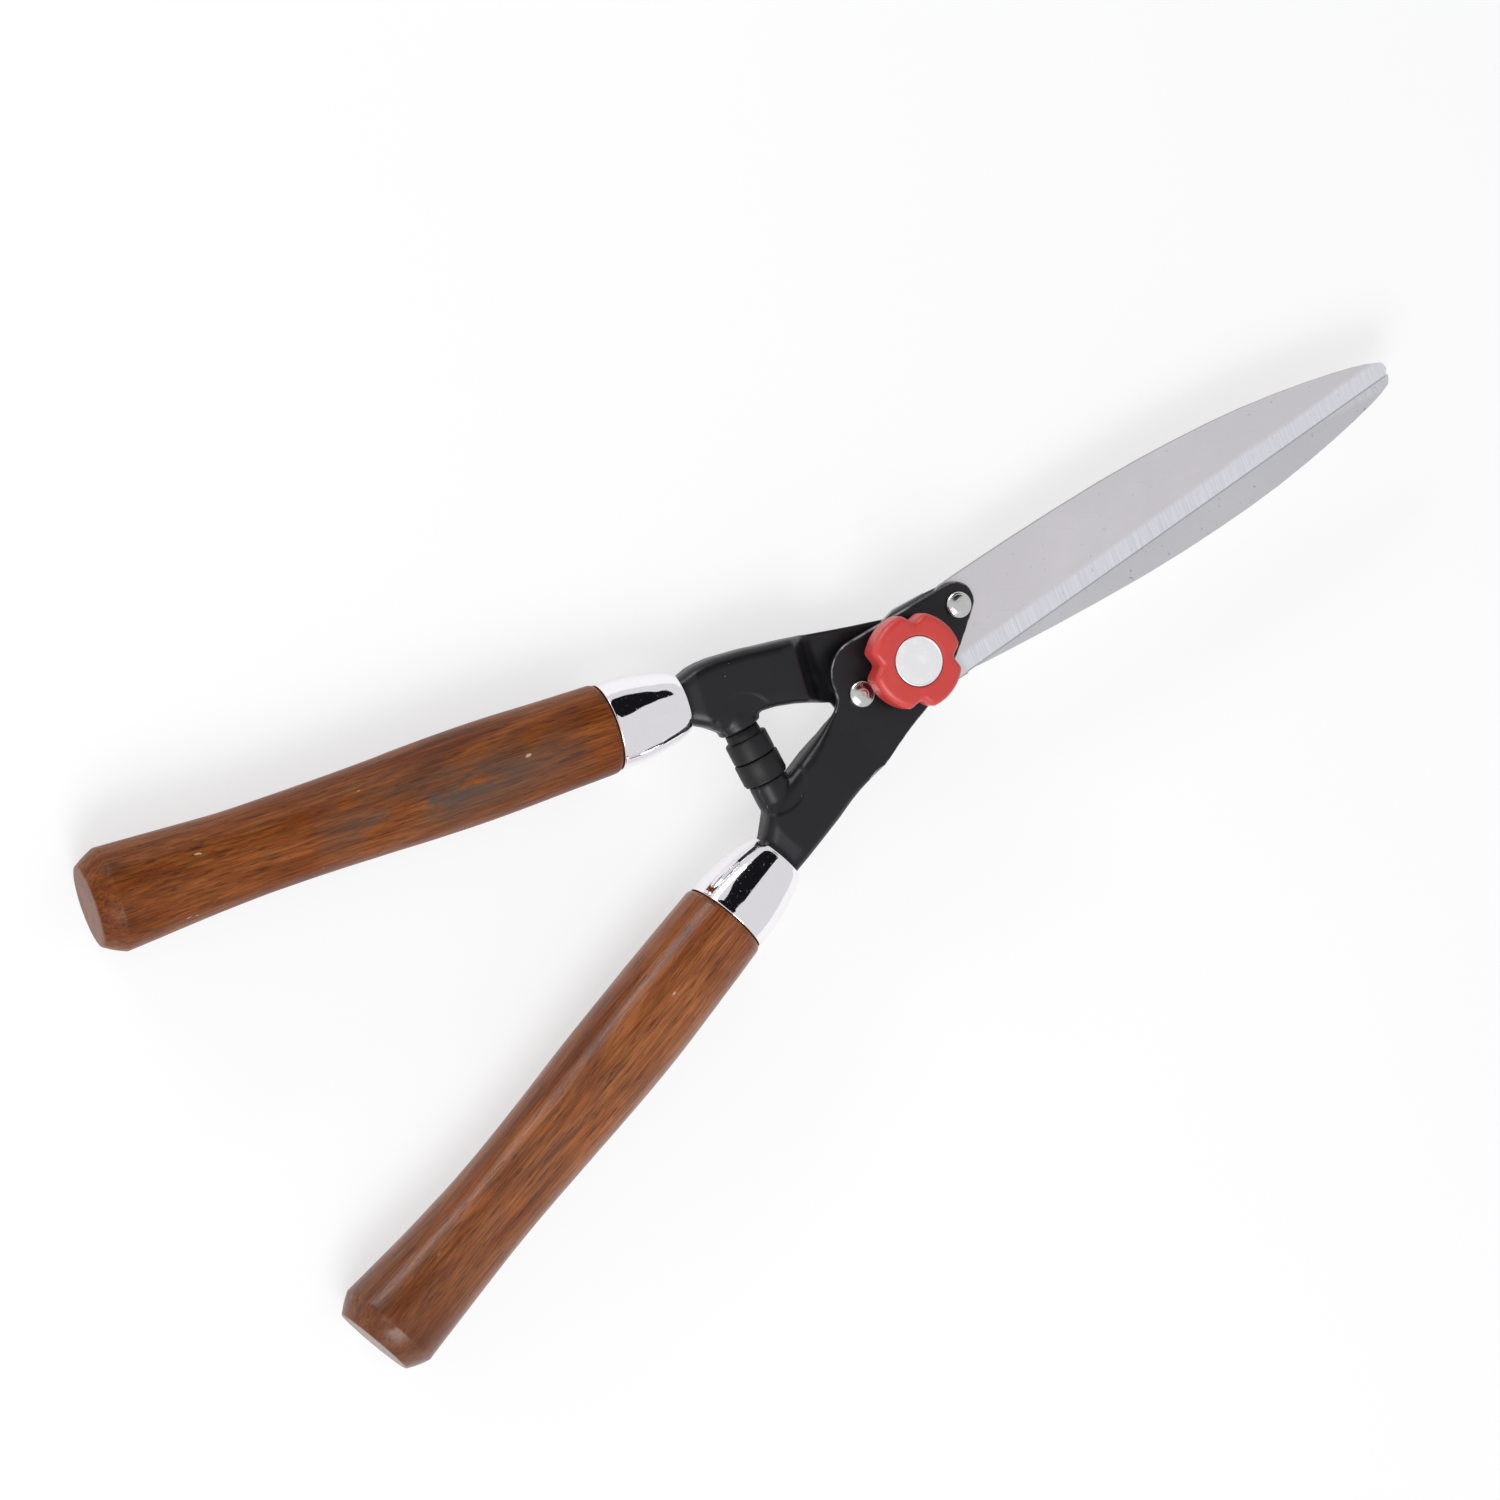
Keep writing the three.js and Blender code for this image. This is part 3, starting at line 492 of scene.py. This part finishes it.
def stopRubber():
    made, tree, shader, vector = material("stopRubber", 0.6, 0.0, **{"Specular IOR Level": 0.3})
    dust = place(tree, smudges, Vector=vector, Scale=160.0, Cover=0.45, Softness=0.4)
    dusty = math2(tree, "MULTIPLY", dust.outputs["Mask"], 0.5)
    colour = mixColour(tree, dusty, (0.007, 0.007, 0.008), (0.020, 0.019, 0.019))
    tree.links.new(colour, shader.inputs["Base Color"])
    rough = math2(tree, "ADD", math2(tree, "MULTIPLY", dust.outputs["Mask"], 0.2), 0.5)
    tree.links.new(rough, shader.inputs["Roughness"])
    bumpInto(tree, shader, noiseOf(tree, vector, 1200.0, 3, 0.6), 0.3, 0.0002)
    return made


looks = {
    "woodFront": varnishedWood("varnishedWoodFront", "front", (0.97, 0.81, 0.58), 0.25, 0.5, 0.30, 120, 0.5),
    "woodRear": varnishedWood("varnishedWoodRear", "rear", (0.80, 0.63, 0.38), 1.0, 0.10, 0.4, 66, 0.12),
    "paint": paintedBlack(),
    "bladeFront": groundSteel("groundSteelFront", (0.84, 0.81, 0.835), (0.90, 0.90, 0.955), True),
    "bladeRear": groundSteel("groundSteelRear", (0.74, 0.735, 0.755), (0.78, 0.775, 0.80), False),
    "chrome": brightChrome(),
    "rivet": steelLook("rivetSteel", (0.80, 0.79, 0.78), 0.25),
    "cap": steelLook("silverCap", (0.99, 0.98, 0.995), 0.42, 0.5),
    "zinc": steelLook("zincPlate", (0.62, 0.62, 0.62), 0.32),
    "red": mouldedRed(),
    "rubber": stopRubber(),
}
print("materials built")


def paint(obj, key):
    obj.data.materials.clear()
    obj.data.materials.append(looks[key])


handleShape = {
    "length": handleLength, "spigot": 15.3, "spigotRadius": 14.0, "boreRadius": 5.75, "boreDepth": 43.2,
    "rows": [(0, 16.0), (0.5, 16.55), (1.4, 16.95), (3, 17.15), (10, 17.4), (25, 17.75), (40, 18.1), (55, 18.2),
             (75, 18.0), (90, 17.5), (110, 16.95), (128, 16.75), (143, 16.85), (157, 17.4), (170, 18.1),
             (184, 19.0), (193.4, 19.62)],
    "ridge": (194.6, 19.3), "face": 15.6, "unevenness": 0.16, "sides": 112,
}


def makeHandle(side, bow, seed):
    shape = handleShape
    length = shape["length"]
    outer = spline(shape["rows"], 6)
    spigot, spigotRadius = shape["spigot"], shape["spigotRadius"]
    bore, boreDepth = shape["boreRadius"], shape["boreDepth"]
    profile = [(0, boreDepth), (bore, boreDepth), (bore, -spigot + 0.5), (spigotRadius - 0.5, -spigot)]
    profile += [(spigotRadius, -spigot + 0.6), (15.2, -4), (15.3, -0.3), (15.3, 0)]
    profile += [(r, z) for z, r in outer]
    ridgeZ, ridgeR = shape["ridge"]
    profile += [(19.58, 194.0), (ridgeR, ridgeZ)]
    for i in range(1, 9):
        t = i / 9
        chamfer = ridgeR + (shape["face"] - ridgeR) * t + 0.25 * math.sin(math.pi * t)
        profile.append((chamfer, ridgeZ + (length - 0.5 - ridgeZ) * t))
    profile += [(shape["face"] - 0.15, length - 0.22), (shape["face"] - 0.6, length - 0.03)]
    profile += [(r, length) for r in (13, 10, 7, 4, 2)] + [(0, length)]

    def shift(x, y, z, radius):
        if radius < 15.5 and z < 190:
            return x, y, z
        share = max(0, min(1, z / length))
        n = noise.fractal(Vector((x * 0.05, y * 0.05, z * 0.028 + seed)), 1.0, 2.0, 3)
        edge = max(0, 1 - abs(z - ridgeZ) / 3.2)
        nick = noise.noise(Vector((x * 0.22, y * 0.22, seed * 3.1))) * edge
        dent = n * shape["unevenness"] - 0.1 + min(nick, 0) * 0.9 * edge
        k = min(1 + dent / max(radius, 8) * min(1, share * 30), 1.0)
        return x * k + bow * 4 * share * (1 - share), y * k, z

    verts, faces = turned(profile, shape["sides"], shift)
    obj = newPiece(side + "_handle_turned", verts, faces, side + "_lever", [side + "_handle"],
                   gripPlace(side, length), 32)
    paint(obj, "woodFront" if side == "front" else "woodRear")


makeHandle("front", 1.7, 3.0)
makeHandle("rear", 0.0, 11.0)
print("handles built")

ferruleShape = {
    "wall": 0.9, "toButt": 232.0, "sides": 128,
    "rows": [(1.0, 12.15), (2.0, 12.65), (3.5, 13.2), (6.5, 14.05), (10, 14.85), (13, 15.5), (16, 16.0),
             (19.5, 16.45), (23, 16.68), (28.9, 16.72)],
    "mouth": [(11.05, 0.55), (11.12, 0.2), (11.35, 0.03), (11.62, 0.06), (11.9, 0.4)],
    "rim": [(16.78, 29.15), (16.82, 29.45), (16.75, 29.7), (16.55, 29.8), (16.1, 29.8)],
}


def makeFerrule(side):
    shape = ferruleShape
    outer = [(r, z) for z, r in spline(shape["rows"], 4)]
    inner = [(r - shape["wall"], z) for r, z in reversed(outer)]
    profile = shape["mouth"] + outer + shape["rim"] + inner + shape["mouth"][:1]
    verts, faces = turned(profile, shape["sides"])
    obj = newPiece(side + "_ferrule_turned", verts, faces, side + "_lever", [side + "_ferrule"],
                   gripPlace(side, shape["toButt"]), 50)
    paint(obj, "chrome")


makeFerrule("front")
makeFerrule("rear")
print("ferrules built")

armLook = {
    "voxel": 0.5, "rounds": 18, "strength": 0.5, "plateHigh": 6.25, "rimDepth": 0.75, "plateReach": 33,
    "webTop": 8, "webDrop": 3.5, "arcRadius": 12.3, "arcWidth": 0.9, "arcDepth": 0.45, "arcOffset": 5.2,
}


def pressArcs(mesh, side):
    # the web is pressed down a little round the lug of the rubber stop
    low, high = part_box(side + "_bumper")
    away = 1 if side == "rear" else -1
    lug = high.y if side == "rear" else low.y
    centre = Vector(((low.x + high.x) / 2, lug - away * armLook["arcOffset"] * mm, 0))
    top = middleZ + armLook["webTop"] * mm
    for vertex in mesh.vertices:
        if vertex.co.z < top - armLook["webDrop"] * mm or vertex.normal.z < 0.2:
            continue
        reach = (Vector((vertex.co.x, vertex.co.y, 0)) - centre).length / mm
        inside = max(0.0, min(1.0, 0.5 + (armLook["arcRadius"] - reach) / armLook["arcWidth"] / 2))
        vertex.co.z -= armLook["arcDepth"] * inside * inside * (3 - 2 * inside) * mm


def markRim(mesh, side):
    # 1 on the rounded top edge of the flat plate, 0 elsewhere
    mark = mesh.attributes.new("rim", "FLOAT", "POINT")
    high = middleZ + armLook["plateHigh"] * mm
    low = high - armLook["rimDepth"] * mm
    for vertex, value in zip(mesh.vertices, mark.data):
        onPlate = side == "front" and vertex.co.x > -armLook["plateReach"] * mm
        near = onPlate and low < vertex.co.z <= high + 0.1 * mm
        value.value = 1.0 if near and 0.30 < vertex.normal.z < 0.90 else 0.0


def makeArm(side):
    # the pressed arm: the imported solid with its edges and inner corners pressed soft
    source = frame["nodes"][side + "_arm"]
    obj = bpy.data.objects.new(side + "_arm_pressed", source.data.copy())
    bpy.context.collection.objects.link(obj)
    remesh = obj.modifiers.new("fine", "REMESH")
    remesh.mode = "VOXEL"
    remesh.voxel_size = armLook["voxel"] * mm
    soften = obj.modifiers.new("soften", "SMOOTH")
    soften.factor = armLook["strength"]
    soften.iterations = armLook["rounds"]
    bpy.context.view_layer.update()
    done = bpy.data.meshes.new_from_object(obj.evaluated_get(bpy.context.evaluated_depsgraph_get()))
    obj.modifiers.clear()
    obj.data = done
    pressArcs(done, side)
    markRim(done, side)
    finishPiece(obj, side + "_lever", [side + "_arm"], 180)
    paint(obj, "paint")
    print(side, "arm faces", len(done.polygons))


makeArm("front")
makeArm("rear")

rivetShape = {
    "sides": 72, "seat": 6.2,
    "crown": [(5.08, 0.35), (5.02, 0.75), (4.8, 1.15), (4.35, 1.5), (4.05, 1.62), (3.9, 1.6), (3.7, 1.72),
              (3.0, 2.02), (2.2, 2.24), (1.95, 2.26), (1.8, 2.22), (1.6, 2.3), (0.9, 2.36), (0.45, 2.33), (0, 2.3)],
}


def makeRivet(side, which):
    node = side + "_rivet_" + which
    low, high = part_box(node)
    seat = rivetShape["seat"]
    profile = [(0, 0.15), (3.9, 0.15), (2.5, 1.25), (2.5, seat), (4.9, seat)]
    profile += [(r, seat + z) for r, z in rivetShape["crown"]]
    verts, faces = turned(profile, rivetShape["sides"])
    at = Matrix.Translation(((low.x + high.x) / 2, (low.y + high.y) / 2, middleZ))
    if side == "rear":
        at = at @ Matrix.Rotation(math.pi, 4, "X")
    obj = newPiece(node + "_domed", verts, faces, side + "_lever", [node], at, 50)
    paint(obj, "rivet")


for side in ("front", "rear"):
    for which in ("tip", "rear"):
        makeRivet(side, which)
print("rivets built")

stopShape = {
    "sides": 96,
    "front": [(0, 0.15), (7.6, 0.15), *arcRows(7.9, 0.95, 0.8, -90, 0), (8.7, 8.2), (8.45, 8.45), (8.45, 8.75),
              (8.3, 9.15), (3.2, 9.2), (3.2, 15.5), (0, 15.5)],
    "rear": [(0, 0.15), (7.3, 0.15), *arcRows(7.6, 0.85, 0.7, -90, 0), (8.3, 7.4), *arcRows(7.5, 7.4, 0.8, 0, 90),
             (7.3, 8.2), (6.75, 8.6), (6.55, 11.6), (6.3, 11.8), (3.2, 11.8), (3.2, 18), (0, 18)],
}


def makeStop(side):
    node = side + "_bumper"
    low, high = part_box(node)
    verts, faces = turned(stopShape[side], stopShape["sides"])
    seam = (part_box("front_bumper")[1].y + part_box("rear_bumper")[0].y) / 2
    turn = math.pi / 2 if side == "front" else -math.pi / 2
    at = Matrix.Translation(((low.x + high.x) / 2, seam, middleZ)) @ Matrix.Rotation(turn, 4, "X")
    obj = newPiece(node + "_moulded", verts, faces, side + "_lever", [node], at, 50)
    paint(obj, "rubber")


makeStop("front")
makeStop("rear")
print("stops built")

knobShape = {
    "radius": 18.15, "height": 11.6, "notchDepth": 3.1, "notchHalf": 12.5, "notchSpread": 1.35, "notchTurn": -22,
    "edgeRound": 3.0, "footRadius": 11.4, "foot": 0.8, "seatRadius": 9.65, "seatDepth": 0.75, "bore": 8.0,
    "around": 360,
}


def knobRim(angle):
    # radius of the outline at an angle in degrees
    shape = knobShape
    off = (angle - shape["notchTurn"] + 45) % 90 - 45
    t = abs(off) / shape["notchHalf"]
    if t >= shape["notchSpread"]:
        return shape["radius"]
    dip = 0.5 + 0.5 * math.cos(math.pi * min(1, t / shape["notchSpread"]))
    return shape["radius"] - shape["notchDepth"] * (dip ** 0.8)


def makeKnobBody():
    # each ring is a kind, a value and a height: round has its own radius, inset lies inside the notched
    # outline, and blend goes from the outline to the cap's seat
    shape = knobShape
    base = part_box("knob_body")[0].z / mm
    e, h, foot = shape["edgeRound"], shape["height"], shape["foot"]
    bore, seat = shape["bore"], shape["seatRadius"]
    seatRim, seatFloor = seat + 0.45, h - shape["seatDepth"]
    rings = [("round", bore, h - 2.7), ("round", bore, 0.0), ("round", shape["footRadius"], 0.0)]
    rings += [("round", shape["footRadius"], foot), ("inset", 1.0, foot), ("inset", 0.35, foot + 0.15)]
    rings += [("inset", 0.1, foot + 0.6), ("inset", 0.0, 3.0), ("inset", 0.0, 5.5), ("inset", 0.05, h - e - 0.3)]
    for i in range(1, 10):
        a = math.radians(90 * i / 9)
        rings.append(("inset", e * (1 - math.cos(a)), h - e + (e - 0.12) * math.sin(a)))
    rings += [("blend", 0.35, h - 0.05), ("blend", 0.7, h), ("round", seatRim, h)]
    rings += [("round", seat + 0.1, h - 0.12), ("round", seat, h - 0.35), ("round", seat, seatFloor)]
    rings += [("round", bore, seatFloor)]
    verts, faces = [], []
    n = shape["around"]
    for kind, value, z in rings:
        for i in range(n):
            angle = 360 * i / n
            rim = knobRim(angle)
            if kind == "round":
                radius = value
            elif kind == "inset":
                radius = rim - value
            else:
                radius = (rim - e) * (1 - value) + seatRim * value
            a = math.radians(angle)
            verts.append((radius * math.cos(a), radius * math.sin(a), z))
    count = len(rings)
    for k in range(count):
        for i in range(n):
            j = (i + 1) % n
            low, high = k * n, ((k + 1) % count) * n
            faces.append((low + i, low + j, high + j, high + i))
    at = Matrix.Translation((0, 0, base * mm))
    obj = newPiece("knob_moulded", verts, faces, "knob", ["knob_body"], at, 45)
    paint(obj, "red")


capShape = {
    "sides": 128,
    "profile": [(0, 0), (7.6, 0), (7.6, 2.0), (9.2, 2.0), (9.33, 2.1), (9.35, 2.35), (9.3, 2.62), (9.12, 2.82),
                (8.9, 2.87), (8.72, 2.83), (8.62, 2.78), (8.4, 2.80), (6, 2.86), (3, 2.9), (0, 2.9)],
}


def makeCap():
    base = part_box("knob_cap")[0].z / mm
    verts, faces = turned(capShape["profile"], capShape["sides"])
    at = Matrix.Translation((0, 0, base * mm))
    obj = newPiece("knob_cap_pressed", verts, faces, "knob", ["knob_cap"], at, 60)
    paint(obj, "cap")


makeKnobBody()
makeCap()
print("knob built")

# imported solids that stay, each with its look and the width in mm of the bevel that breaks its edges
keptNodes = {
    "front_blade": ("bladeFront", 0.22), "rear_blade": ("bladeRear", 0.22), "pivot_bolt": ("zinc", 0.35),
    "thrust_washer": ("zinc", 0.15), "wave_washer": ("zinc", 0.1), "knob_nut": ("zinc", 0.3),
}
for name, (look, width) in keptNodes.items():
    obj = frame["nodes"][name]
    for materialSlot in obj.material_slots:
        materialSlot.link = "OBJECT"
        materialSlot.material = looks[look]
    soft = obj.modifiers.new("brokenEdges", "BEVEL")
    soft.width = width * mm
    soft.segments = 2
    soft.limit_method = "ANGLE"
    soft.angle_limit = math.radians(28)
    soft.harden_normals = True
print("kept solids dressed")


# stage: pale floor, soft lights, camera
stageLook = {
    "floorDrop": 0.0004, "floorSize": 8.0, "floorGlow": 0.64,
    "floorLow": (0.30, 0.30, 0.302), "floorHigh": (0.32, 0.32, 0.322),
    "worldStrength": 0.79, "wall": (0.93, 0.93, 0.95), "gap": (0.01, 0.01, 0.012),
    "gapAcross": (-0.508, 0.722, -0.470), "gapHalf": 0.42, "gapCentre": (0.411, 0.568, 0.713), "gapReach": 0.865,
}


def makeFloor():
    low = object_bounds()[0]
    under = low.z - stageLook["floorDrop"]
    bpy.ops.mesh.primitive_plane_add(size=stageLook["floorSize"], location=(0, 0, under))
    floor = bpy.context.active_object
    floor.name = "floor"
    made, tree, shader, vector = material("paleFloor", 0.9)
    shader.inputs["Specular IOR Level"].default_value = 0.0
    tone = noiseOf(tree, vector, 3.0, 2, 0.5)
    colour = mixColour(tree, tone, stageLook["floorLow"], stageLook["floorHigh"])
    tree.links.new(colour, shader.inputs["Base Color"])
    shader.inputs["Emission Color"].default_value = (1, 1, 1, 1)
    shader.inputs["Emission Strength"].default_value = stageLook["floorGlow"]
    floor.data.materials.append(made)


def softLight(name, direction, distance, size, power):
    data = bpy.data.lights.new(name, "AREA")
    data.shape = "RECTANGLE"
    data.size, data.size_y = size
    data.energy = power
    lamp = bpy.data.objects.new(name, data)
    bpy.context.collection.objects.link(lamp)
    toLamp = Vector(direction).normalized()
    lamp.location = toLamp * distance
    lamp.rotation_mode = "QUATERNION"
    lamp.rotation_quaternion = toLamp.to_track_quat("Z", "Y")


def makeWorld():
    world = bpy.data.worlds.new("softRoom")
    bpy.context.scene.world = world
    world.use_nodes = True
    tree = world.node_tree
    back = tree.nodes["Background"]
    direction = add(tree, "ShaderNodeTexCoord").outputs["Generated"]
    # a dark gap in the room's walls, between the soft lights
    off, along = (add(tree, "ShaderNodeVectorMath", {0: direction, 1: stageLook[key]},
                      operation="DOT_PRODUCT").outputs["Value"] for key in ("gapAcross", "gapCentre"))
    inGap = math2(tree, "LESS_THAN", math2(tree, "ABSOLUTE", off), stageLook["gapHalf"])
    near = math2(tree, "GREATER_THAN", along, stageLook["gapReach"])
    dark = math2(tree, "MULTIPLY", inGap, near)
    tree.links.new(mixColour(tree, dark, stageLook["wall"], stageLook["gap"]), back.inputs["Color"])
    back.inputs["Strength"].default_value = stageLook["worldStrength"]


cameraLook = {
    "lens": 115.26, "sensor": 36, "clipEnd": 50,
    "place": (-0.5706, 0.3209, 1.6790),  # metres, from the pivot in the plane between the blades
    "right": (0.8251, -0.4554, 0.3344), "up": (0.4894, 0.8719, -0.0202), "back": (-0.2823, 0.1803, 0.9422),
}


def makeCamera():
    data = bpy.data.cameras.new("camera")
    data.lens = cameraLook["lens"]
    data.sensor_width = cameraLook["sensor"]
    data.clip_end = cameraLook["clipEnd"]
    camera = bpy.data.objects.new("camera", data)
    bpy.context.collection.objects.link(camera)
    turn = Matrix((cameraLook["right"], cameraLook["up"], cameraLook["back"])).transposed().to_4x4()
    camera.matrix_world = Matrix.Translation(Vector(cameraLook["place"]) + Vector((0, 0, middleZ))) @ turn
    bpy.context.scene.camera = camera


makeFloor()
makeWorld()
softLight("overhead", (-0.75, -0.55, 1), 1.9, (1.0, 1.0), 22)
softLight("backStrip", (-0.11, 0.94, 0.33), 1.5, (0.9, 0.24), 7)
makeCamera()
bpy.context.scene.view_settings.view_transform = "Standard"
print("stage built")
